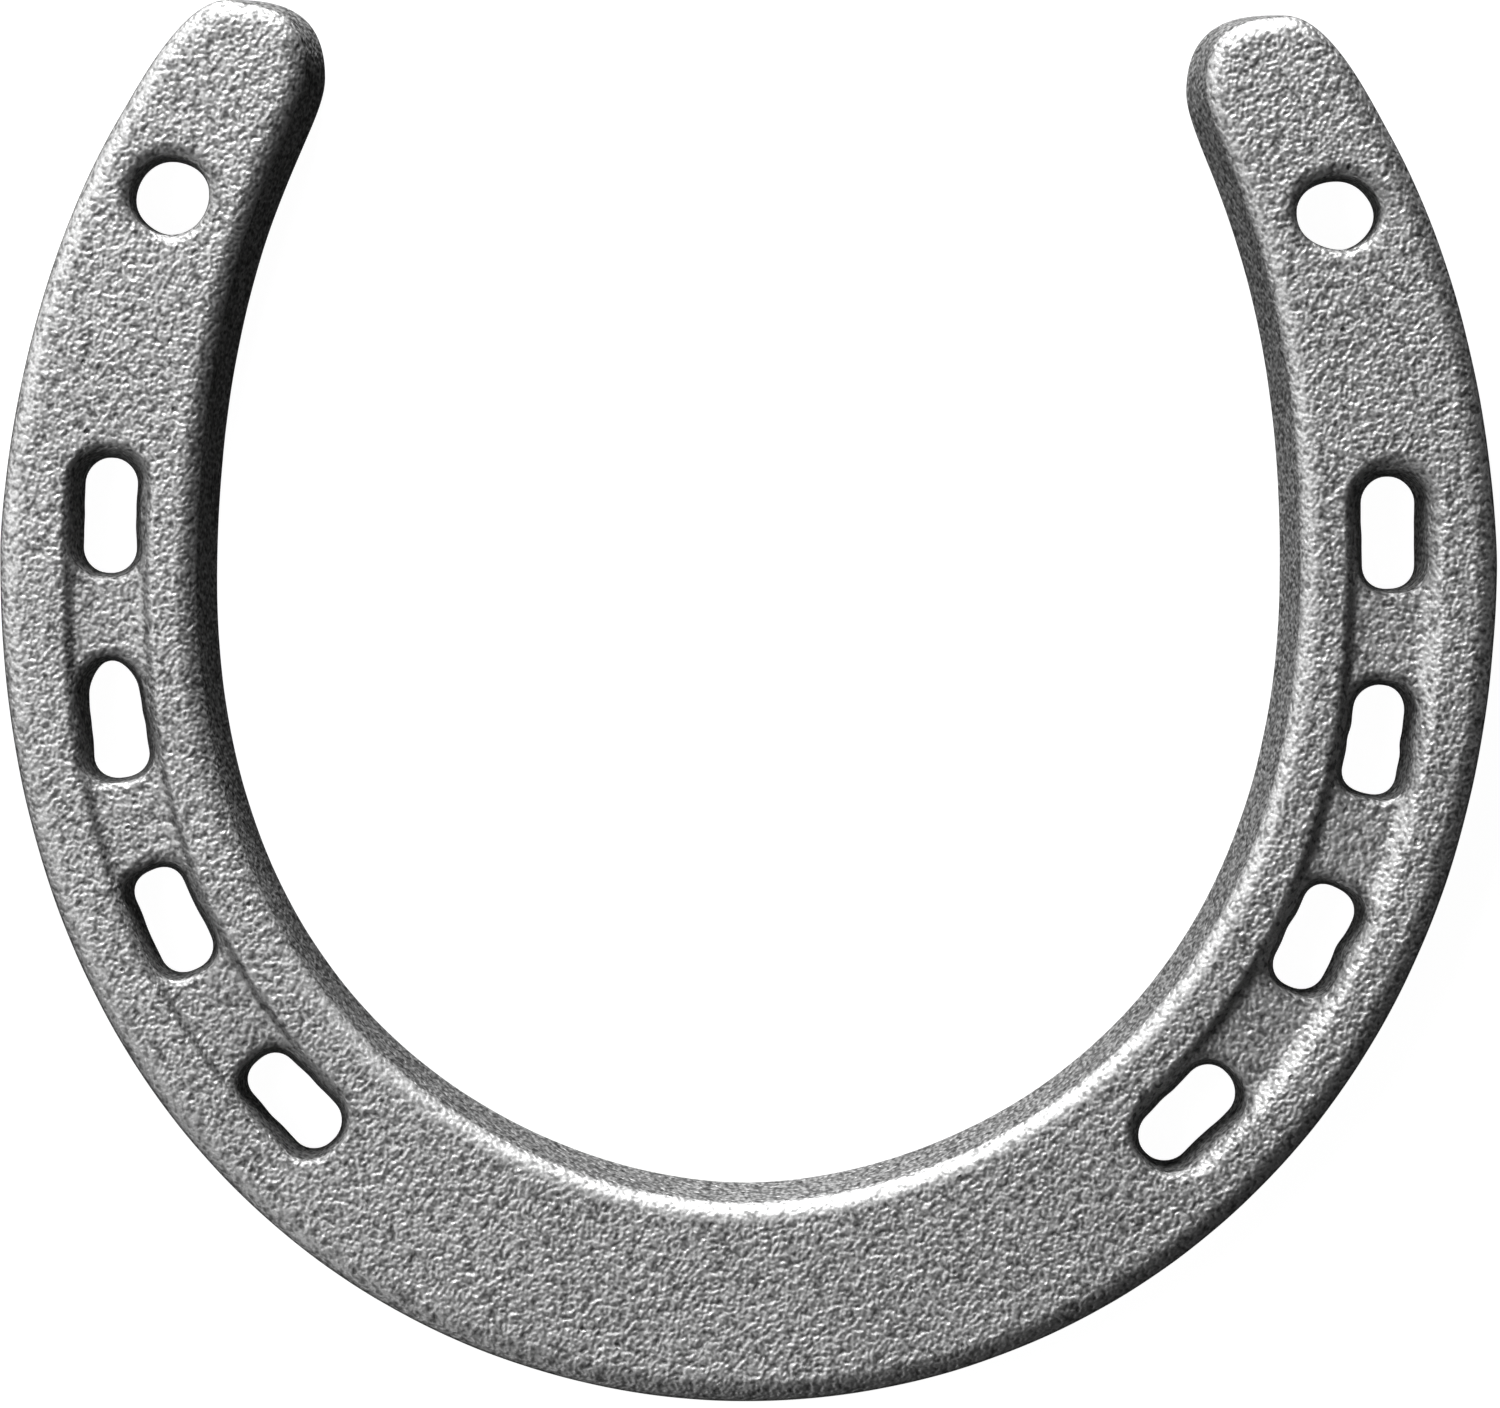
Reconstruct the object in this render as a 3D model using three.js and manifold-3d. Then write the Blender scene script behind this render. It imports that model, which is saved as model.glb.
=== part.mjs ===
// A plain horseshoe, made as one casting: a flat bar bent to the outline of a round front hoof, with
// two heel ends, four nail slots and a shallow fuller (the groove that seats the nail heads) in each
// branch, and one round hole near each heel. It lies flat with its ground face up.
//
// Frame, in millimetres: the origin is under the middle of the shoe, on the hoof face. +X is to the
// right, the toe is at -Y and the heels at +Y, and +Z is out of the ground face.

import * as THREE from "three";
import Module from "manifold-3d";

// The bar.
const THICKNESS = 8; // 5/16 inch bar
const OUTER_DRAFT = THREE.MathUtils.degToRad(4); // how far the outer wall leans, to leave the mould
const INNER_DRAFT = THREE.MathUtils.degToRad(13); // the inner wall leans more, which keeps the sole clear
const TOP_RADIUS = 1.7; // rounding of the ground face's edges
const BOTTOM_RADIUS = 0.5; // rounding of the hoof face's edges

// The right half of the outline at its widest level, which is at the top of the bottom rounding.
// Each point is an extreme of the curve, and each reach is how far its Bezier handle goes.
const TOE_OUTER = { y: -60.3, reach: 32 };
const SIDE_OUTER = { x: 64.75, y: 12.6, toeReach: 48, heelReach: 1.5 };
const HEEL_SHOULDER = { x: 54.8, y: 50.3, angle: 120, sideReach: 19, tipReach: 3 };
const HEEL_TIP = { x: 45.6, y: 60.3, outerReach: 4, innerReach: 3.5 };
const HEEL_INNER = { x: 37.2, y: 53.5, tipReach: 6.6, sideReach: 5 };
const SIDE_INNER = { x: 45.9, y: 11.3, heelReach: 28, toeReach: 41 };
const TOE_INNER = { y: -41.3, reach: 15.5 };
const OUTLINE_STEPS = [24, 14, 5, 8, 14, 24]; // straight pieces for each of the six curves, toe to toe

// The line of the nail slots in the right branch, from the fuller's heel end to its toe end. An angle
// is how far the line has turned inwards from pointing straight at the toe.
const FULLER_HEEL = { x: 55.15, y: 17.95, angle: -2, reach: 16 };
const FULLER_TOE = { x: 37.1, y: -36.25, angle: 46, reach: 25 };
const FULLER_STEPS = 24;

// The fuller's section: a flat floor whose middle lies a little to the inner side of the line.
const FULLER_DEPTH = 0.9;
const FULLER_FLOOR_WIDTH = 5.6;
const FULLER_FLOOR_OFFSET = 0.25; // from the line inwards to the middle of the floor
const FULLER_FLARE = 1.2; // how much further out each side of the fuller is at the ground face

// The nail slots are rounded rectangles on the line. Their walls lean, so that each slot is wider at
// the ground face and seats a nail head.
const SLOT_CENTRES = [2.4, 20.3, 38.1, 56.9]; // distances along the line from the fuller's heel end
const SLOT_AT_HOOF_FACE = { length: 9.6, width: 4.4, corner: 2.1 };
const SLOT_AT_GROUND_FACE = { length: 10.6, width: 6.3, corner: 2.5 };

// The round heel holes.
const HEEL_HOLE = { x: 50.2, y: 43, radius: 3.2, groundRadius: 3.5, rimRadius: 0.8 };

const ARC_STEPS = 6; // straight pieces in a quarter circle of a slot or hole
const EDGE_STEPS = 4; // straight pieces in the rounding of an edge
const OVERCUT = 1; // how far a cutting tool reaches past a face

const wasm = await Module();
wasm.setup();

// An outline is a closed list of { point, normal }, counter-clockwise, with normals pointing out. The
// shoe's own outline also gives the draft of its wall at each point.

function rightNormal(direction) {
  return new THREE.Vector2(direction.y, -direction.x).normalize();
}

// The points of a curve, without its last one, with the normal on its right-hand side.
function sampleCurve(curve, steps) {
  return Array.from({ length: steps }, (_, i) => ({
    point: curve.getPoint(i / steps),
    normal: rightNormal(curve.getTangent(i / steps)),
  }));
}

function bezier(start, startHandle, endHandle, end) {
  const points = [start, startHandle, endHandle, end].map(([x, y]) => new THREE.Vector2(x, y));
  return new THREE.CubicBezierCurve(...points);
}

// The whole shoe's outline: six curves for the right half, then the same points mirrored.
function shoeOutline() {
  const [toe, side, shoulder, tip] = [TOE_OUTER, SIDE_OUTER, HEEL_SHOULDER, HEEL_TIP];
  const [heel, waist, throat] = [HEEL_INNER, SIDE_INNER, TOE_INNER];
  const slope = THREE.MathUtils.degToRad(shoulder.angle);
  const alongShoulder = (reach) => [
    shoulder.x + reach * Math.cos(slope),
    shoulder.y + reach * Math.sin(slope),
  ];
  const at = ({ x = 0, y }, dx = 0, dy = 0) => [x + dx, y + dy];
  const [outer, inner] = [OUTER_DRAFT, INNER_DRAFT];
  const curves = [
    bezier(at(toe), at(toe, toe.reach), at(side, 0, -side.toeReach), at(side)),
    bezier(at(side), at(side, 0, side.heelReach), alongShoulder(-shoulder.sideReach), at(shoulder)),
    bezier(at(shoulder), alongShoulder(shoulder.tipReach), at(tip, tip.outerReach), at(tip)),
    bezier(at(tip), at(tip, -tip.innerReach), at(heel, 0, heel.tipReach), at(heel)),
    bezier(at(heel), at(heel, 0, -heel.sideReach), at(waist, 0, waist.heelReach), at(waist)),
    bezier(at(waist), at(waist, 0, -waist.toeReach), at(throat, throat.reach), at(throat)),
  ];
  const drafts = [outer, outer, outer, outer, inner, inner, inner]; // where each curve starts or ends
  const right = curves.flatMap((curve, i) =>
    sampleCurve(curve, OUTLINE_STEPS[i]).map((edge, step) => ({
      ...edge,
      draft: THREE.MathUtils.lerp(drafts[i], drafts[i + 1], step / OUTLINE_STEPS[i]),
    })),
  );
  const throatMiddle = {
    point: new THREE.Vector2(0, throat.y),
    normal: new THREE.Vector2(0, 1),
    draft: inner,
  };
  const flip = new THREE.Vector2(-1, 1);
  const left = right.slice(1).map(({ point, normal, draft }) => ({
    point: point.clone().multiply(flip),
    normal: normal.clone().multiply(flip),
    draft,
  }));
  return [...right, throatMiddle, ...left.reverse()];
}

function roundOutline(radius) {
  const circle = new THREE.EllipseCurve(0, 0, radius, radius, 0, 2 * Math.PI);
  return sampleCurve(circle, 4 * ARC_STEPS);
}

// A rectangle with round corners and its length along Y.
function slotOutline(length, width, corner) {
  const [cx, cy] = [width / 2 - corner, length / 2 - corner];
  const corners = [[cx, cy], [-cx, cy], [-cx, -cy], [cx, -cy]];
  return corners.flatMap(([x, y], i) => {
    const from = (i * Math.PI) / 2;
    const arc = new THREE.EllipseCurve(x, y, corner, corner, from, from + Math.PI / 2);
    const last = { point: arc.getPoint(1), normal: rightNormal(arc.getTangent(1)) };
    return [...sampleCurve(arc, ARC_STEPS), last];
  });
}

function fullerCurve() {
  const handle = ({ x, y, angle, reach }, sign) => {
    const turn = THREE.MathUtils.degToRad(angle);
    return [x - sign * reach * Math.sin(turn), y - sign * reach * Math.cos(turn)];
  };
  const [heel, toe] = [FULLER_HEEL, FULLER_TOE];
  return bezier([heel.x, heel.y], handle(heel, 1), handle(toe, -1), [toe.x, toe.y]);
}

// A band of one width beside a curve, with round ends. The offset is from the curve to the middle of
// the band, on the curve's right-hand side, which is the inner side of the right branch.
function bandOutline(curve, halfWidth, offset) {
  const edgePoint = (t, turn) => {
    const right = rightNormal(curve.getTangent(t));
    const normal = right.clone().rotateAround(new THREE.Vector2(), turn);
    const point = curve.getPoint(t).addScaledVector(right, offset);
    return { point: point.addScaledVector(normal, halfWidth), normal };
  };
  const along = Array.from({ length: FULLER_STEPS + 1 }, (_, i) => i / FULLER_STEPS);
  const around = Array.from({ length: 2 * ARC_STEPS - 1 }, (_, i) => (i + 1) / (2 * ARC_STEPS));
  return [
    ...along.map((t) => edgePoint(t, 0)),
    ...around.map((share) => edgePoint(1, share * Math.PI)),
    ...along.map((t) => edgePoint(1 - t, Math.PI)),
    ...around.map((share) => edgePoint(0, (1 + share) * Math.PI)),
  ];
}

// A point of a solid: an outline's point at a height, moved in along its normal by the inset.
function raise(edge, z, inset) {
  const { x, y } = edge.point.clone().addScaledVector(edge.normal, -inset);
  return new THREE.Vector3(x, y, z);
}

// One level of a solid, a ring of points.
function level(outline, z, inset = 0) {
  return outline.map((edge) => raise(edge, z, inset));
}

// A closed solid through levels of equally many points, from the bottom up.
function layeredSolid(levels) {
  const count = levels[0].length;
  const positions = levels.flat().flatMap(({ x, y, z }) => [x, y, z]);
  const triangles = [];
  for (let start = 0; start < (levels.length - 1) * count; start += count) {
    for (let i = 0; i < count; i++) {
      const a = start + i;
      const b = start + ((i + 1) % count);
      triangles.push(a, b, b + count, a, b + count, a + count);
    }
  }
  const top = (levels.length - 1) * count;
  for (const [a, b, c] of THREE.ShapeUtils.triangulateShape(levels[0], [])) {
    triangles.push(c, b, a);
  }
  for (const [a, b, c] of THREE.ShapeUtils.triangulateShape(levels.at(-1), [])) {
    triangles.push(top + a, top + b, top + c);
  }
  return new wasm.Manifold(
    new wasm.Mesh({
      numProp: 3,
      vertProperties: new Float32Array(positions),
      triVerts: new Uint32Array(triangles),
    }),
  );
}

// The angles of an edge's rounding, from nothing to a quarter turn.
function roundingAngles(steps) {
  return Array.from({ length: steps + 1 }, (_, i) => ((i / steps) * Math.PI) / 2);
}

// A point where the top rounding has reached a share of its turn, from the wall to the ground face.
function topRoundingPoint(edge, share) {
  const { draft } = edge;
  const centreZ = THICKNESS - TOP_RADIUS;
  const wallTop = centreZ + TOP_RADIUS * Math.sin(draft);
  const lean = (wallTop - BOTTOM_RADIUS) * Math.tan(draft);
  const centreInset = lean + TOP_RADIUS * Math.cos(draft);
  const turn = THREE.MathUtils.lerp(draft, Math.PI / 2, share);
  return raise(edge, centreZ + TOP_RADIUS * Math.sin(turn), centreInset - TOP_RADIUS * Math.cos(turn));
}

// The bar: a small rounding, a leaning wall, and a larger rounding that meets the wall without a
// corner.
function bar() {
  const outline = shoeOutline();
  const bottom = roundingAngles(EDGE_STEPS / 2).map((turn) =>
    level(
      outline,
      BOTTOM_RADIUS * (1 - Math.cos(turn)),
      BOTTOM_RADIUS * (1 - Math.sin(turn)),
    ),
  );
  const top = [];
  for (let step = 0; step <= EDGE_STEPS; step++) {
    top.push(outline.map((edge) => topRoundingPoint(edge, step / EDGE_STEPS)));
  }
  return layeredSolid([...bottom, ...top]);
}

// Cutting tools, each made in the right branch.

function fullerCutter() {
  const outline = bandOutline(fullerCurve(), FULLER_FLOOR_WIDTH / 2, FULLER_FLOOR_OFFSET);
  const slope = FULLER_FLARE / FULLER_DEPTH;
  return layeredSolid([
    level(outline, THICKNESS - FULLER_DEPTH),
    level(outline, THICKNESS + OVERCUT, -slope * (FULLER_DEPTH + OVERCUT)),
  ]);
}

function slotCutter(distance) {
  const curve = fullerCurve();
  const t = distance / curve.getLength();
  const centre = curve.getPointAt(t);
  const direction = curve.getTangentAt(t);
  const turn = Math.atan2(direction.x, -direction.y);
  const slotLevel = (z) => {
    const at = (key) =>
      THREE.MathUtils.lerp(SLOT_AT_HOOF_FACE[key], SLOT_AT_GROUND_FACE[key], z / THICKNESS);
    return level(slotOutline(at("length"), at("width"), at("corner")), z);
  };
  return layeredSolid([slotLevel(-OVERCUT), slotLevel(THICKNESS + OVERCUT)])
    .rotate([0, 0, THREE.MathUtils.radToDeg(turn)])
    .translate([centre.x, centre.y, 0]);
}

function heelHoleCutter() {
  const { x, y, radius, groundRadius, rimRadius } = HEEL_HOLE;
  const outline = roundOutline(radius);
  const widening = groundRadius - radius;
  const rim = roundingAngles(EDGE_STEPS).map((turn) =>
    level(
      outline,
      THICKNESS - rimRadius * (1 - Math.sin(turn)),
      -widening - rimRadius * (1 - Math.cos(turn)),
    ),
  );
  const below = level(outline, -OVERCUT);
  const above = level(outline, THICKNESS + OVERCUT, -widening - rimRadius);
  const cutter = layeredSolid([below, level(outline, 0), ...rim, above]);
  return cutter.translate([x, y, 0]);
}

function buildShoe() {
  const rightTools = [fullerCutter(), heelHoleCutter(), ...SLOT_CENTRES.map(slotCutter)];
  let shoe = bar();
  for (const tool of rightTools) {
    shoe = shoe.subtract(tool).subtract(tool.mirror([1, 0, 0]));
  }
  return shoe;
}

function geometryOf(solid) {
  const mesh = solid.getMesh();
  const geometry = new THREE.BufferGeometry();
  geometry.setAttribute("position", new THREE.BufferAttribute(mesh.vertProperties, 3));
  geometry.setIndex(new THREE.BufferAttribute(mesh.triVerts, 1));
  geometry.computeVertexNormals();
  return geometry;
}

const castMetal = new THREE.MeshStandardMaterial({
  color: 0x8f9092,
  roughness: 0.5,
  metalness: 0.9,
  flatShading: true,
});

const horseshoe = new THREE.Mesh(geometryOf(buildShoe()), castMetal);
horseshoe.name = "horseshoe";

const part = new THREE.Group();
part.add(horseshoe);

export default part;
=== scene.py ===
"""A cast horseshoe on a pale floor, with its ground face up.

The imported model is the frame. One fine skin stands for its single node: the same bar, fuller, nail
slots and heel holes, with the soft edges, uneven cored holes and rough skin of a casting.

The skin is worked out in millimetres in the shoe's own frame, and its mesh is made in metres.
"""

import math

import bpy
import numpy as np
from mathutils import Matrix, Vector, noise
from mathutils.geometry import delaunay_2d_cdt
from mathutils.kdtree import KDTree


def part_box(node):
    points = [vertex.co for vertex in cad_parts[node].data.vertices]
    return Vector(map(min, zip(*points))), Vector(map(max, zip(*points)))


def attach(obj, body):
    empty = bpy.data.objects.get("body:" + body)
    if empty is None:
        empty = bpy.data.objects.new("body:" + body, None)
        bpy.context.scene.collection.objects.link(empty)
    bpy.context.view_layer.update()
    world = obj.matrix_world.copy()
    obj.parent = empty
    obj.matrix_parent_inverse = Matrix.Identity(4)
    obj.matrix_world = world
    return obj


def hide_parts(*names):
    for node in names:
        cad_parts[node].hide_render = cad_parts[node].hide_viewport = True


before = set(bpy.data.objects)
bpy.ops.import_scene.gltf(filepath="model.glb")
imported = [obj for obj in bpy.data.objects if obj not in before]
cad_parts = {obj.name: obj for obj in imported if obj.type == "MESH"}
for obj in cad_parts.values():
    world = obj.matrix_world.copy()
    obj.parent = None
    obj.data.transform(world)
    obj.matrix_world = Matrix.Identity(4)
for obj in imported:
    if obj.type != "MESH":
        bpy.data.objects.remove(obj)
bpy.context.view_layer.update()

MM = 0.001
LOW, HIGH = (np.array(corner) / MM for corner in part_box("horseshoe"))
THICKNESS = HIGH[2]
HALF_WIDTH = HIGH[0]
TOE_Y = LOW[1]
HEEL_Y = HIGH[1]

# The bar's section.
OUTER_DRAFT = math.radians(4)
INNER_DRAFT = math.radians(13)
TOP_RADIUS = 1.7
BOTTOM_RADIUS = 0.5

# The right half of the outline, as six Bezier curves from toe to toe. Each is (end, handle after its
# start, handle before its end, draft at its end), and starts where the last one ended.
TOE_OUTER = (0, TOE_Y)
SIDE_OUTER = (HALF_WIDTH, 12.6)
HEEL_SHOULDER = (54.8, 50.3)
HEEL_TIP = (45.6, HEEL_Y)
HEEL_INNER = (37.2, 53.5)
SIDE_INNER = (45.9, 11.3)
TOE_INNER = (0, -41.3)
SHOULDER_SLOPE = (math.cos(math.radians(120)), math.sin(math.radians(120)))
OUTLINE_CURVES = [
    (SIDE_OUTER, (32, 0), (0, -48), OUTER_DRAFT),
    (HEEL_SHOULDER, (0, 1.5), (-19 * SHOULDER_SLOPE[0], -19 * SHOULDER_SLOPE[1]), OUTER_DRAFT),
    (HEEL_TIP, (3 * SHOULDER_SLOPE[0], 3 * SHOULDER_SLOPE[1]), (4, 0), OUTER_DRAFT),
    (HEEL_INNER, (-3.5, 0), (0, 6.6), INNER_DRAFT),
    (SIDE_INNER, (0, -5), (0, 28), INNER_DRAFT),
    (TOE_INNER, (0, -41), (15.5, 0), INNER_DRAFT),
]

# The line of the right branch's nail slots, from the fuller's heel end to its toe end.
FULLER_HEEL = (55.15, 17.95)
FULLER_TOE = (37.1, -36.25)
FULLER_HEEL_HANDLE = (16 * math.sin(math.radians(2)), -16 * math.cos(math.radians(2)))
FULLER_TOE_HANDLE = (25 * math.sin(math.radians(46)), 25 * math.cos(math.radians(46)))

# The fuller's section, from the middle of its floor. A slope is a side's width from the floor up to
# the ground face. The right branch's outer side is the widest.
FULLER_DEPTH = 1.1
FULLER_FLOOR_SHIFT = 0.25  # from the line inwards to the middle of the floor
FULLER_HALF_FLOOR = 2.7
FULLER_INNER_SLOPE = 1.1
RIGHT_FULLER_OUTER_SLOPE = 2.2
LEFT_FULLER_OUTER_SLOPE = 1.4

# The nail slots: how far along that line they are, and their (length, width, corner radius).
SLOT_CENTRES = [2.4, 20.3, 38.1, 56.9]
SLOT_AT_HOOF_FACE = (9.6, 4.4, 2.1)
SLOT_AT_GROUND_FACE = (10.6, 6.3, 2.5)
SLOT_RIM = 0.8
SLOT_WOBBLE = 0.05
SLOT_CORNER_POINTS = 11
SLOT_SIDE_POINTS = 15

# How the sand cores of the slots differ, from heel to toe: (share by which the heel end is wider, how
# far the middle of the heel end stands out, how far the middle of the toe end does).
RIGHT_SLOT_SHAPES = [(0.02, 0.15, -0.15), (-0.08, 0, -0.25), (0, -0.2, -0.15), (0.04, 0, 0.1)]
LEFT_SLOT_SHAPES = [(-0.03, 0.1, 0), (-0.1, 0.45, 0), (-0.02, -0.25, -0.1), (-0.03, -0.2, 0)]

# How uneven a sand core is: its waves around a hole, which start at random.
SEED = 7
WOBBLE_WAVES = (2, 3, 4, 5, 7)

# The heel holes. Each one's shape is its stretch along X and Y.
HEEL_HOLE = (50.2, 43)
HEEL_HOLE_RADIUS = 3.2
HEEL_HOLE_GROUND_RADIUS = 3.5
HEEL_HOLE_RIM = 1.1
HEEL_HOLE_WOBBLE = 0.05
RIGHT_HOLE_SHAPE = (1.03, 0.91)
LEFT_HOLE_SHAPE = (0.97, 0.98)
HOLE_FOOT_RADIUS = 0.3

# The casting's slow swell, as (length of its waves, height). It only takes metal away.
SWELLS = [(9, 0.04), (4, 0.03)]

# Wear and painted light, up to 1: above zero the skin is smoother and has a painted highlight. Below
# zero is painted shade, down to the darkest value, on the fuller's steep sides. The ground face's edges
# have the painted highlight where they face the side the lights come from, and painted shade where they
# face away. The smoothest and brightest is the toe's inner edge.
LIT_SIDE = (-0.87, 0.5)
SHADED_TO_LIT = (-0.6, 0.2)  # how far an edge faces the side the lights come from, from -1 to 1
EDGE_PAINTED_SHADE = -1.3
EDGE_WEAR_AND_HIGHLIGHT = 0.4
TOE_EDGE_WEAR_AND_HIGHLIGHT = 1
TOE_EDGE_ENDS = (-30, 5)  # the Y where that edge starts to get rough and loses its painted highlight, and the Y where it is rough
# Painted shade on the holes' rounded rims, at both faces.
HOLE_EDGE_PAINTED_SHADE = -1.2
DARKEST_PAINTED_SHADE = -2.2  # the darkest painted shade, on the fuller's steep sides
SHADED_STEEPNESS = (0.7, 1.1)  # where a side's painted shade starts, and where it is at its darkest

# How fine the skin's mesh is.
OUTLINE_SPACING = 0.5
HOLE_SPACING = 0.35
GROUND_SPACING = 0.34
HOOF_SPACING = 0.9
CLEARANCE = 0.6  # between a face's inner points and its boundaries, as a share of the spacing
CLOSENESS = 1e-6  # points no further apart are the same point
FOOT_STEPS = 3
WALL_STEPS = 8
ROUNDING_STEPS = 7


# ---- Plane curves ----


def bezier(start, handle, end_handle, end, steps=200):
    """The points of a cubic curve without its last one. Handles are measured from their own ends."""
    t = np.linspace(0, 1, steps, endpoint=False)[:, None]
    start, end = np.array(start, float), np.array(end, float)
    first, second = start + handle, end + end_handle
    return (
        (1 - t) ** 3 * start
        + 3 * (1 - t) ** 2 * t * first
        + 3 * (1 - t) * t**2 * second
        + t**3 * end
    )


def evenly(points, spacing):
    """A closed loop again, with its points the same distance apart. Further columns come along."""
    closed = np.vstack([points, points[:1]])
    along = np.concatenate([[0], np.cumsum(np.hypot(*np.diff(closed[:, :2], axis=0).T))])
    at = np.linspace(0, along[-1], round(along[-1] / spacing), endpoint=False)
    return np.column_stack([np.interp(at, along, column) for column in closed.T])


def outward(points):
    """Unit normals on the right-hand side of a closed loop: outside, if it runs counter-clockwise."""
    ahead = np.roll(points, -1, axis=0) - np.roll(points, 1, axis=0)
    normals = np.column_stack([ahead[:, 1], -ahead[:, 0]])
    return normals / np.linalg.norm(normals, axis=1, keepdims=True)


def shoe_outline():
    """The shoe's outline at its widest level, counter-clockwise, and its wall's draft at each point."""
    right = []
    start, draft = TOE_OUTER, OUTER_DRAFT
    for end, handle, end_handle, end_draft in OUTLINE_CURVES:
        curve = bezier(start, handle, end_handle, end)
        right.append(np.column_stack([curve, np.linspace(draft, end_draft, len(curve))]))
        start, draft = end, end_draft
    right = np.vstack([*right, [(*TOE_INNER, INNER_DRAFT)]])
    left = right[1:-1][::-1] * (-1, 1, 1)
    whole = evenly(np.vstack([right, left]), OUTLINE_SPACING)
    return whole[:, :2], whole[:, 2]


def slot_shape(length, width, corner, wider, heel_point, toe_point):
    """An uneven rectangle with round corners. Its length is along Y, with the heel end at +Y.

    Shapes of any size have as many points, which lie on matching places.
    """
    x, y = width / 2 - corner, length / 2 - corner
    turns = np.linspace(0, math.pi / 2, SLOT_CORNER_POINTS)
    heel_right = [(x + corner * math.cos(turn), y + corner * math.sin(turn)) for turn in turns]
    heel_left = [(-dx, dy) for dx, dy in reversed(heel_right)]
    side = [(-width / 2, height) for height in np.linspace(y, -y, SLOT_SIDE_POINTS + 2)[1:-1]]
    half = np.array(heel_right + heel_left + side)
    points = np.vstack([half, -half])
    across = 1 - (points[:, 0] / (width / 2)) ** 2
    along = points[:, 1] / (length / 2)
    points[:, 1] += np.where(along > 0, heel_point, -toe_point) * across * np.abs(along) ** 3
    points[:, 0] *= 1 + wider * along
    return points


def wobble(points, size, random):
    """The slow unevenness of a sand core: a few waves around a hole, as a distance outwards."""
    centre = points.mean(axis=0)
    turn = np.arctan2(*(points - centre).T[::-1])
    out = np.zeros(len(points))
    for waves in WOBBLE_WAVES:
        out += random.normal(0, size / math.sqrt(waves)) * np.cos(waves * turn + random.uniform(0, 6.28))
    return out


FULLER_LINE = bezier(FULLER_HEEL, FULLER_HEEL_HANDLE, FULLER_TOE_HANDLE, FULLER_TOE, steps=700)
FULLER_ALONG = np.concatenate([[0], np.cumsum(np.hypot(*np.diff(FULLER_LINE, axis=0).T))])


def fuller_frame(distance):
    """A point on the right branch's line, with the directions along it to the toe and outwards."""
    at = np.searchsorted(FULLER_ALONG, distance)
    along = FULLER_LINE[at + 1] - FULLER_LINE[at]
    along /= np.linalg.norm(along)
    return FULLER_LINE[at], along, np.array([-along[1], along[0]])


# ---- The ground face ----


def smooth_step(x):
    x = np.clip(x, 0, 1)
    return x * x * (3 - 2 * x)


def fuller_side(points):
    """How far up the fuller's side points of the plane are, from 0 to 1, and the width of that side."""
    in_left = points[:, 0] < 0
    points = np.column_stack([np.abs(points[:, 0]), points[:, 1]])
    line = FULLER_LINE[::4]
    along = np.gradient(line, axis=0)
    outwards = np.column_stack([-along[:, 1], along[:, 0]])
    outwards /= np.linalg.norm(outwards, axis=1, keepdims=True)
    middle = line - FULLER_FLOOR_SHIFT * outwards

    tree = KDTree(len(middle))
    for index, (x, y) in enumerate(middle):
        tree.insert((x, y, 0), index)
    tree.balance()
    nearest = [tree.find((x, y, 0)) for x, y in points]
    index = np.array([found[1] for found in nearest])
    distance = np.array([found[2] for found in nearest])

    away = (points - middle[index]) / np.maximum(distance, CLOSENESS)[:, None]
    side = (away * outwards[index]).sum(axis=1)
    outer_slope = np.where(in_left, LEFT_FULLER_OUTER_SLOPE, RIGHT_FULLER_OUTER_SLOPE)
    slope = FULLER_INNER_SLOPE + (1 + side) / 2 * (outer_slope - FULLER_INNER_SLOPE)
    return np.clip((distance - FULLER_HALF_FLOOR) / slope, 0, 1), slope


def fuller_depth(points):
    up, _ = fuller_side(points)
    return FULLER_DEPTH * (1 - smooth_step(up))


def fuller_painted_shade(points):
    """The ground face's wear and painted light: none but painted shade on the fuller's steep sides."""
    up, width = fuller_side(points)
    rate = 6 * up * (1 - up)  # how fast smooth_step rises there
    steepness = FULLER_DEPTH * rate / width
    start, end = SHADED_STEEPNESS
    # painted shade, darkest on the steepest sides
    return DARKEST_PAINTED_SHADE * smooth_step((steepness - start) / (end - start))


def ground_height(points):
    return THICKNESS - fuller_depth(points)


# ---- The skin ----


class Skin:
    """Vertices and faces, gathered ring by ring. Each vertex has its wear and painted light."""

    def __init__(self):
        self.points = []
        self.wear_and_painted_light = []
        self.faces = []
        self.count = 0

    def add(self, plane, height, wear_and_painted_light=0.0):
        """Adds points with their heights, and returns their numbers."""
        height = np.broadcast_to(height, len(plane))
        self.points.append(np.column_stack([plane, height]))
        self.wear_and_painted_light.append(np.broadcast_to(wear_and_painted_light, len(plane)))
        self.count += len(plane)
        return np.arange(self.count - len(plane), self.count)

    def join(self, rings, inside=False):
        """Faces between closed rings, from the bottom up. A hole's wall faces the other way."""
        for lower, upper in zip(rings, rings[1:]):
            corners = [lower, np.roll(lower, -1), np.roll(upper, -1), upper]
            if inside:
                corners.reverse()
            self.faces += np.column_stack(corners).tolist()


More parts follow.
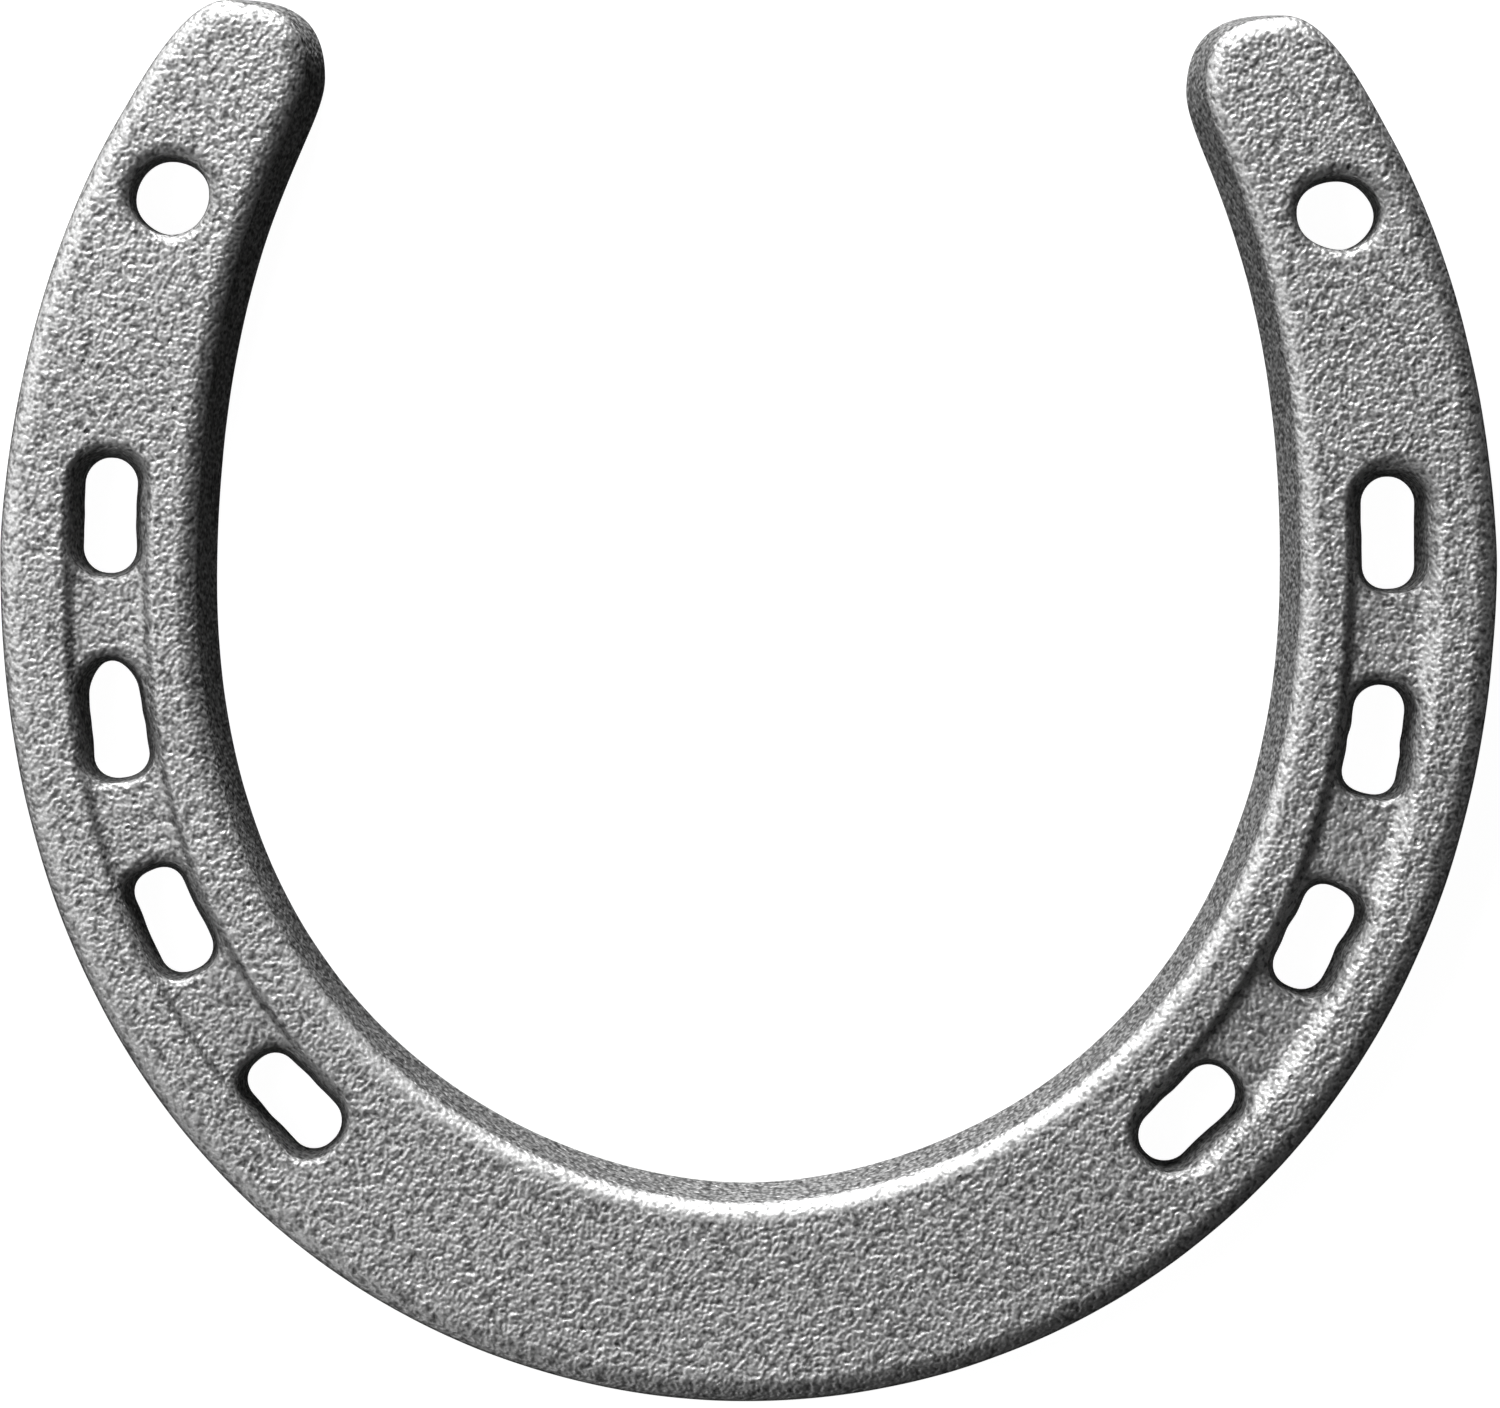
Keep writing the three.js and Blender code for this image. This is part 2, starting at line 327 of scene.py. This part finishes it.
def bar_rings(skin):
    """The bar's outer surface, and its boundaries on the hoof face and on the ground face."""
    outline, draft = shoe_outline()
    normals = outward(outline)
    outer = draft < (OUTER_DRAFT + INNER_DRAFT) / 2
    rings = []

    def add(inset, height, wear_and_painted_light=0.0):
        inset = np.broadcast_to(inset, len(outline))
        rings.append(skin.add(outline - inset[:, None] * normals, height, wear_and_painted_light))

    for step in range(FOOT_STEPS + 1):
        turn = math.pi / 2 * step / FOOT_STEPS
        foot = BOTTOM_RADIUS * (1 - math.cos(turn))
        # The hoof face's edge is smoother, with a mild painted highlight.
        add(BOTTOM_RADIUS * (1 - math.sin(turn)), foot, EDGE_WEAR_AND_HIGHLIGHT)
    rise = THICKNESS - TOP_RADIUS * (1 - np.sin(draft)) - BOTTOM_RADIUS
    for step in range(1, WALL_STEPS):
        height = rise * step / WALL_STEPS
        add(height * np.tan(draft), BOTTOM_RADIUS + height)
    # A painted highlight on the edges that face the lights and painted shade on those that face away;
    # the toe's inner edge is smoothest and brightest.
    wear_and_painted_light = np.interp(normals @ LIT_SIDE, SHADED_TO_LIT, (EDGE_PAINTED_SHADE, EDGE_WEAR_AND_HIGHLIGHT))
    at_toe = np.where(outer, 0, np.interp(outline[:, 1], TOE_EDGE_ENDS, (1, 0)))
    wear_and_painted_light += (TOE_EDGE_WEAR_AND_HIGHLIGHT - wear_and_painted_light) * at_toe
    for step in range(ROUNDING_STEPS + 1):
        share = step / ROUNDING_STEPS
        turn = draft + (math.pi / 2 - draft) * share
        inset = rise * np.tan(draft) + TOP_RADIUS * (np.cos(draft) - np.cos(turn))
        add(inset, THICKNESS - TOP_RADIUS * (1 - np.sin(turn)), wear_and_painted_light * smooth_step(2 * share))
    skin.join(rings)
    return rings[0], rings[-1]


def hole_rings(skin, at_hoof, at_ground, normals, rim):
    """A hole's wall between its outlines at the two faces, rounded at both ends."""
    lean = np.arctan(((at_ground - at_hoof) * normals).sum(axis=1) / THICKNESS)

    def wall(height):
        return at_hoof + (at_ground - at_hoof) * (height / THICKNESS)[:, None]

    # Both rounded ends of the hole get painted shade.
    rings = []
    for step in range(FOOT_STEPS + 1):
        turn = math.pi / 2 * step / FOOT_STEPS
        foot = np.full(len(at_hoof), HOLE_FOOT_RADIUS * (1 - math.cos(turn)))
        plane = wall(foot) + HOLE_FOOT_RADIUS * (1 - math.sin(turn)) * normals
        rings.append(skin.add(plane, foot, HOLE_EDGE_PAINTED_SHADE))
    rim_start = ground_height(wall(np.full(len(at_hoof), THICKNESS))) - rim * (1 - np.sin(lean))
    for step in range(1, WALL_STEPS):
        height = HOLE_FOOT_RADIUS + (rim_start - HOLE_FOOT_RADIUS) * step / WALL_STEPS
        rings.append(skin.add(wall(height), height))
    for step in range(ROUNDING_STEPS + 1):
        share = step / ROUNDING_STEPS
        turn = lean + (math.pi / 2 - lean) * share
        across = rim * (np.cos(lean) - np.cos(turn))
        plane = wall(rim_start) + across[:, None] * normals
        height = ground_height(plane) - rim * (1 - np.sin(turn))
        rings.append(skin.add(plane, height, HOLE_EDGE_PAINTED_SHADE * smooth_step(2 * share)))
    skin.join(rings, inside=True)
    return rings[0], rings[-1]


def grid_inside(loops, spacing):
    """A triangular grid's points inside the first loop, outside the others and clear of them all."""
    tree = KDTree(sum(len(loop) for loop in loops))
    for point in np.vstack(loops):
        tree.insert((point[0], point[1], 0), 0)
    tree.balance()
    starts = np.vstack(loops)
    ends = np.vstack([np.roll(loop, -1, axis=0) for loop in loops])
    points = []
    row_height = spacing * math.sqrt(3) / 2
    rows = np.arange(starts[:, 1].min(), starts[:, 1].max(), row_height) + row_height / 3
    for number, y in enumerate(rows):
        crossing = (starts[:, 1] > y) != (ends[:, 1] > y)
        a, b = starts[crossing], ends[crossing]
        edges = np.sort(a[:, 0] + (y - a[:, 1]) / (b[:, 1] - a[:, 1]) * (b[:, 0] - a[:, 0]))
        for left, right in zip(edges[::2], edges[1::2]):
            first = math.ceil(left / spacing - number % 2 / 2)
            for x in np.arange(first, math.ceil(right / spacing)) * spacing + number % 2 * spacing / 2:
                if x < right and tree.find((x, y, 0))[2] > CLEARANCE * spacing:
                    points.append((x, y))
    return np.array(points)


def in_loop(points, loop):
    """Which points lie inside a loop."""
    ends = np.roll(loop, -1, axis=0)
    inside = np.zeros(len(points), bool)
    for (x0, y0), (x1, y1) in zip(loop, ends):
        if y0 != y1:
            crossed = (points[:, 1] < y0) != (points[:, 1] < y1)
            inside ^= crossed & (points[:, 0] < x0 + (points[:, 1] - y0) / (y1 - y0) * (x1 - x0))
    return inside


def face_between(skin, rings, spacing, height, wear_and_painted_light, faces_up):
    """A flat or gently shaped face that fills the space inside the first ring and outside the others."""
    points = np.vstack(skin.points)
    loops = [points[ring][:, :2] for ring in rings]
    middle = grid_inside(loops, spacing)
    numbers = np.concatenate([*rings, skin.add(middle, height(middle), wear_and_painted_light(middle))])
    plane = np.vstack([*loops, middle])
    edges = []
    start = 0
    for loop in loops:
        edges += [(start + i, start + (i + 1) % len(loop)) for i in range(len(loop))]
        start += len(loop)
    whole_hull = 0
    made = delaunay_2d_cdt([Vector(point) for point in plane], edges, [], whole_hull, CLOSENESS, True)
    original = np.array([source[0] for source in made[3]])
    triangles = original[np.array(made[2])]

    # Only a triangle with all three corners on the boundaries can lie outside the face or in a hole.
    on_edge = (triangles < start).all(axis=1)
    centres = plane[triangles[on_edge]].mean(axis=1)
    keep_edge = in_loop(centres, loops[0])
    for loop in loops[1:]:
        keep_edge &= ~in_loop(centres, loop)
    keep = ~on_edge
    keep[on_edge] = keep_edge
    triangles = triangles[keep]

    a, b, c = (plane[triangles[:, corner]] for corner in range(3))
    area = (b[:, 0] - a[:, 0]) * (c[:, 1] - a[:, 1]) - (b[:, 1] - a[:, 1]) * (c[:, 0] - a[:, 0])
    wrong_way = (area > 0) != faces_up
    triangles[wrong_way] = triangles[wrong_way][:, ::-1]
    skin.faces += numbers[triangles].tolist()


def slot_rings(skin, side, distance, shape, random):
    """A nail slot of one branch. Side is 1 on the right and -1 on the left."""
    centre, along, outwards = fuller_frame(distance)
    at_hoof = slot_shape(*SLOT_AT_HOOF_FACE, *shape)
    at_ground = slot_shape(*SLOT_AT_GROUND_FACE, *shape)
    uneven = wobble(at_hoof, SLOT_WOBBLE, random)[:, None] * outward(at_hoof)
    loops = []
    for loop in (at_hoof + uneven, at_ground + uneven):
        placed = centre + loop[:, :1] * outwards - loop[:, 1:] * along
        loops.append((placed * (side, 1))[::side])
    return hole_rings(skin, *loops, outward(loops[0]), SLOT_RIM)


def heel_hole_rings(skin, side, shape, random):
    count = round(2 * math.pi * HEEL_HOLE_GROUND_RADIUS / HOLE_SPACING)
    turn = np.linspace(0, 2 * math.pi, count, endpoint=False)
    circle = np.column_stack([np.cos(turn), np.sin(turn)])
    centre = np.array(HEEL_HOLE) * (side, 1)
    uneven = wobble(circle, HEEL_HOLE_WOBBLE, random)[:, None] * circle
    at_hoof = centre + HEEL_HOLE_RADIUS * circle * shape + uneven
    at_ground = centre + HEEL_HOLE_GROUND_RADIUS * circle * shape + uneven
    return hole_rings(skin, at_hoof, at_ground, circle, HEEL_HOLE_RIM)


def nothing(points):
    return np.zeros(len(points))


def build_skin():
    skin = Skin()
    random = np.random.default_rng(SEED)
    boundaries = [bar_rings(skin)]
    branches = [(1, RIGHT_SLOT_SHAPES, RIGHT_HOLE_SHAPE), (-1, LEFT_SLOT_SHAPES, LEFT_HOLE_SHAPE)]
    for side, slot_shapes, hole_shape in branches:
        for distance, shape in zip(SLOT_CENTRES, slot_shapes):
            boundaries.append(slot_rings(skin, side, distance, shape, random))
        boundaries.append(heel_hole_rings(skin, side, hole_shape, random))
    hoof_rings, ground_rings = zip(*boundaries)
    face_between(skin, ground_rings, GROUND_SPACING, ground_height, fuller_painted_shade, faces_up=True)
    face_between(skin, hoof_rings, HOOF_SPACING, nothing, nothing, faces_up=False)
    return skin


def swell(mesh):
    """Moves each point in along its normal by a slow noise, as hand-made moulds leave a casting."""
    normals = np.array([normal.vector for normal in mesh.vertex_normals])
    points = np.array([vertex.co for vertex in mesh.vertices])
    depth = np.zeros(len(points))
    for length, height in SWELLS:
        for index, point in enumerate(points / (length * MM)):
            depth[index] += height * MM * (1 + noise.noise(Vector(point))) / 2
    moved = points - depth[:, None] * normals
    mesh.vertices.foreach_set("co", moved.astype(np.float32).ravel())
    mesh.update()


def make_piece(name, skin):
    mesh = bpy.data.meshes.new(name)
    points = np.vstack(skin.points) * MM
    mesh.from_pydata(points.tolist(), [], skin.faces)
    # Each point's wear and painted light: smoother with a painted highlight above zero, painted shade
    # below.
    wear_and_painted_light = mesh.attributes.new("wear_and_painted_light", "FLOAT", "POINT")
    wear_and_painted_light.data.foreach_set("value", np.concatenate(skin.wear_and_painted_light).astype(np.float32))
    swell(mesh)
    mesh.shade_smooth()
    piece = bpy.data.objects.new(name, mesh)
    bpy.context.scene.collection.objects.link(piece)
    return piece


# ---- Looks ----


# The skin's bands of wrinkles, as (size, share of the height, turn of its pattern). Sizes are waves per
# metre. The turns keep the bands' hidden grids apart from each other and from the faces.
WRINKLES = [
    (2700, 0.4, (0.5, 0.7, 0.9)),
    (1800, 0.3, (1.1, 0.3, 0.4)),
    (1150, 0.3, (0.2, 1.3, 0.4)),
]
WRINKLE_HEIGHT = 0.41 * MM
CREVICE_TO_CREST = (0.36, 0.5)  # heights of the wrinkles' dark bottoms and of their worn tops
TONE = (0.22, 0.63)  # in a crevice and on a crest
ROUGHNESS = (0.66, 0.58)
METALLIC = 0.8

# Speckle and mottle change the tone. Each has a size in waves per metre, then its least and greatest
# factor.
NOISE_RANGE = (0.3, 0.7)  # where nearly all of a noise's values are
SPECKLE_SIZE, SPECKLE = 5200, (0.85, 1.15)
MOTTLE_SIZE, MOTTLE = 90, (0.94, 1.06)

# The walls' spots of scale, over a painted shade that darkens the walls as a whole. Both fade in as the
# surface gets steeper.
WALL_SPECKLE_SIZE = 3000
WALL_SPECKLE_TURN = (0.3, 0.2, 0.6)
WALL_SPECKLE_STRETCH = 0.4
WALL_NOISE_RANGE = (0.35, 0.65)
WALL_SCALE_AND_SHADE = (-0.68, -0.22)  # added to a factor of 1
STEEP = (0.45, 0.3)  # the normal's upward part where spots start, and where they are full

# Small round pits.
PITS_APART = 3.6 * MM
PIT_RADIUS = 0.22 * MM
PIT_EDGE = (1.4, 0.6)  # where a pit starts and where it is at its deepest, in radii
PIT_SHARE = 0.35  # how many of the places have a pit
PIT_TONE = 0.35
PIT_DEPTH = 0.4  # as a share of the wrinkles' height

# What wear and painted light do: a factor for the tone where the painted shade is darkest, then the
# painted highlight that it adds to the tone and how much of the relief it leaves where it is 1.
DARKEST_SHADE_TONE = 0.42
PAINTED_HIGHLIGHT = 0.1
WORN_RELIEF = 0.45


class NodeMaker:
    """A short way to write a material's nodes."""

    def __init__(self, material):
        material.use_nodes = True
        self.tree = material.node_tree
        self.shader = self.tree.nodes["Principled BSDF"]

    def node(self, kind, inputs=(), **settings):
        """A node. An input is a number, or the output of another node."""
        made = self.tree.nodes.new(kind)
        for name, value in settings.items():
            setattr(made, name, value)
        for name, value in dict(inputs).items():
            if isinstance(value, bpy.types.NodeSocket):
                self.tree.links.new(value, made.inputs[name])
            else:
                made.inputs[name].default_value = value
        return made

    def math(self, operation, *values, clamp=False):
        made = self.node("ShaderNodeMath", enumerate(values), operation=operation, use_clamp=clamp)
        return made.outputs[0]

    def scale(self, value, source, target):
        """A value's place in one range moved to the same place in another, and kept inside it."""
        ends = {"From Min": source[0], "From Max": source[1], "To Min": target[0], "To Max": target[1]}
        return self.node("ShaderNodeMapRange", {"Value": value, **ends}).outputs[0]

    def set(self, name, value):
        if isinstance(value, bpy.types.NodeSocket):
            self.tree.links.new(value, self.shader.inputs[name])
        else:
            self.shader.inputs[name].default_value = value


def noise_band(maker, place, size, turn=(0, 0, 0), detail=0):
    turned = maker.node("ShaderNodeMapping", {"Vector": place, "Rotation": turn}).outputs[0]
    band = maker.node("ShaderNodeTexNoise", {"Vector": turned, "Scale": size, "Detail": detail})
    return band.outputs[0]


def spotted_and_shaded_walls(maker, place):
    """A factor for the tone: the walls are spotted with scale, drawn out from face to face, and darkened
    as a whole by painted shade.
    """
    stretch = (1, 1, WALL_SPECKLE_STRETCH)
    drawn = maker.node("ShaderNodeMapping", {"Vector": place, "Scale": stretch}).outputs[0]
    spots = noise_band(maker, drawn, WALL_SPECKLE_SIZE, WALL_SPECKLE_TURN)
    change = maker.scale(spots, WALL_NOISE_RANGE, WALL_SCALE_AND_SHADE)
    normal = maker.node("ShaderNodeNewGeometry").outputs["Normal"]
    up = maker.node("ShaderNodeSeparateXYZ", {"Vector": normal}).outputs[2]
    wall = maker.scale(up, STEEP, (0, 1))
    return maker.math("MULTIPLY_ADD", change, wall, 1.0)


def pits(maker, place):
    """Small round pits, as a share of their depth. Each cell of the pattern may have one."""
    cells = maker.node("ShaderNodeTexVoronoi", {"Vector": place, "Scale": 1 / PITS_APART})
    dice = maker.node("ShaderNodeSeparateColor", {"Color": cells.outputs["Color"]}).outputs[0]
    chosen = maker.math("LESS_THAN", dice, PIT_SHARE)
    start, end = (share * PIT_RADIUS / PITS_APART for share in PIT_EDGE)
    pit = maker.scale(cells.outputs["Distance"], (start, end), (0, 1))
    return maker.math("MULTIPLY", pit, chosen)


def cast_metal():
    """A cast skin: wrinkled, dark in the crevices, smoother along its edges. A painted highlight lies on
    the edges that face the lights; painted shade lies on those that face away, on the holes' rims, on
    the fuller's steep sides and over the walls.
    """
    material = bpy.data.materials.new("cast_skin")
    maker = NodeMaker(material)
    place = maker.node("ShaderNodeTexCoord").outputs["Object"]
    # Wear and painted light: a painted highlight and softer relief above zero, painted shade below.
    wear_and_painted_light = maker.node("ShaderNodeAttribute", attribute_name="wear_and_painted_light").outputs["Fac"]
    height = 0.0
    for size, share, turn in WRINKLES:
        height = maker.math("MULTIPLY_ADD", noise_band(maker, place, size, turn), share, height)
    crest = maker.scale(height, CREVICE_TO_CREST, (0, 1))
    pit = pits(maker, place)

    tone = maker.scale(crest, (0, 1), TONE)
    factors = [
        maker.scale(noise_band(maker, place, SPECKLE_SIZE), NOISE_RANGE, SPECKLE),
        maker.scale(noise_band(maker, place, MOTTLE_SIZE, detail=2), NOISE_RANGE, MOTTLE),
        maker.scale(pit, (0, 1), (1, PIT_TONE)),
        # spots of scale, and painted shade over the walls
        spotted_and_shaded_walls(maker, place),
        # painted shade where the value is below zero: edges facing away from the lights, the holes' rims
        # and the fuller's steep sides
        maker.scale(wear_and_painted_light, (DARKEST_PAINTED_SHADE, 0), (DARKEST_SHADE_TONE, 1)),
    ]
    for factor in factors:
        tone = maker.math("MULTIPLY", tone, factor)
    # a painted highlight on the edges that face the lights, brightest at the toe's inner edge
    painted_highlight_tone = maker.scale(wear_and_painted_light, (0, 1), (0, PAINTED_HIGHLIGHT))
    maker.set("Base Color", maker.math("ADD", tone, painted_highlight_tone, clamp=True))
    maker.set("Metallic", METALLIC)
    maker.set("Roughness", maker.scale(crest, (0, 1), ROUGHNESS))

    relief = maker.math("MULTIPLY_ADD", pit, -PIT_DEPTH, height)
    strength = maker.scale(wear_and_painted_light, (0, 1), (1, WORN_RELIEF))
    bump = maker.node("ShaderNodeBump", {"Height": relief, "Strength": strength})
    bump.inputs["Distance"].default_value = WRINKLE_HEIGHT
    maker.set("Normal", bump.outputs[0])
    return material


def area_light(name, turn, lift, distance, size, power):
    """A soft box that looks at the shoe. Turn is from the heels' side towards the left, and lift is up
    from the floor, both in degrees.
    """
    turn, lift = math.radians(turn), math.radians(lift)
    side = math.cos(lift)
    place = Vector((-math.sin(turn) * side, math.cos(turn) * side, math.sin(lift))) * distance
    data = bpy.data.lights.new(name, "AREA")
    data.shape = "RECTANGLE"
    data.size, data.size_y = size
    data.energy = power
    light = bpy.data.objects.new(name, data)
    light.location = place
    light.rotation_euler = (-place).to_track_quat("-Z", "Y").to_euler()
    light.visible_camera = False
    bpy.context.scene.collection.objects.link(light)


STUDIO_RADIUS = 3
STUDIO_HEIGHT = 3
STUDIO_SIDES = 64
PAPER_COLOUR = (0.25, 0.25, 0.25, 1)
PAPER_ROUGHNESS = 0.9
PAPER_GLOW = 0.98
WHITE = (1, 1, 1, 1)
WORLD_LIGHT = 0.03

# Each light is (name, turn, lift, distance, size, power). The wall light is lower than the ground face
# and lights only the outer wall.
LIGHTS = [
    ("key", 10, 5, 0.7, (0.076, 0.076), 5.8),
    ("upper", 15, 28, 0.6, (0.2, 0.2), 3),
    ("side", 80, 14, 0.6, (0.2, 0.2), 0.8),
    ("top", 90, 55, 0.6, (0.2, 0.2), 0.65),
    ("toe", 150, 12, 0.6, (0.2, 0.2), 0.5),
    ("wall", -90, 0.5, 0.55, (0.1, 0.006), 0.1),
]


def studio():
    """A pale floor that rises into a round wall, and the lights. The key is low behind the heels.

    The paper glows by itself and is left out of the shoe's own light, so that it stays evenly pale.
    """
    count = STUDIO_SIDES
    ring = [(math.cos(turn), math.sin(turn)) for turn in np.linspace(0, 2 * math.pi, count, False)]
    ring = [(STUDIO_RADIUS * x, STUDIO_RADIUS * y) for x, y in ring]
    points = [(x, y, 0) for x, y in ring] + [(x, y, STUDIO_HEIGHT) for x, y in ring]
    wall = [(i, (i + 1) % count, (i + 1) % count + count, i + count) for i in range(count)]
    floor_mesh = bpy.data.meshes.new("floor")
    floor_mesh.from_pydata(points, [], [tuple(range(count)), *wall])
    floor = bpy.data.objects.new("floor", floor_mesh)
    bpy.context.scene.collection.objects.link(floor)
    paper = bpy.data.materials.new("floor")
    maker = NodeMaker(paper)
    maker.set("Base Color", PAPER_COLOUR)
    maker.set("Roughness", PAPER_ROUGHNESS)
    maker.set("Emission Color", WHITE)
    maker.set("Emission Strength", PAPER_GLOW)
    floor_mesh.materials.append(paper)
    floor.visible_glossy = False
    floor.visible_diffuse = False
    world = bpy.data.worlds.new("studio")
    world.use_nodes = True
    background = world.node_tree.nodes["Background"]
    background.inputs["Color"].default_value = WHITE
    background.inputs["Strength"].default_value = WORLD_LIGHT
    bpy.context.scene.world = world
    for light in LIGHTS:
        area_light(*light)


# The camera looks straight down.
CAMERA_PLACE = (0.0003, 0.00003, 1.0)
CAMERA_ROLL = math.radians(0.85)
CAMERA_LENS = 277.4
CAMERA_SENSOR = 36
CAMERA_CLIP = 0.01


def camera():
    data = bpy.data.cameras.new("camera")
    data.sensor_fit = "HORIZONTAL"
    data.sensor_width = CAMERA_SENSOR
    data.lens = CAMERA_LENS
    data.clip_start = CAMERA_CLIP
    eye = bpy.data.objects.new("camera", data)
    eye.location = CAMERA_PLACE
    eye.rotation_euler = (0, 0, CAMERA_ROLL)
    bpy.context.scene.collection.objects.link(eye)
    bpy.context.scene.camera = eye


shoe = make_piece("horseshoe_skin", build_skin())
shoe.data.materials.append(cast_metal())
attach(shoe, "root")
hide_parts("horseshoe")

studio()
camera()
bpy.context.scene.view_settings.view_transform = "Standard"
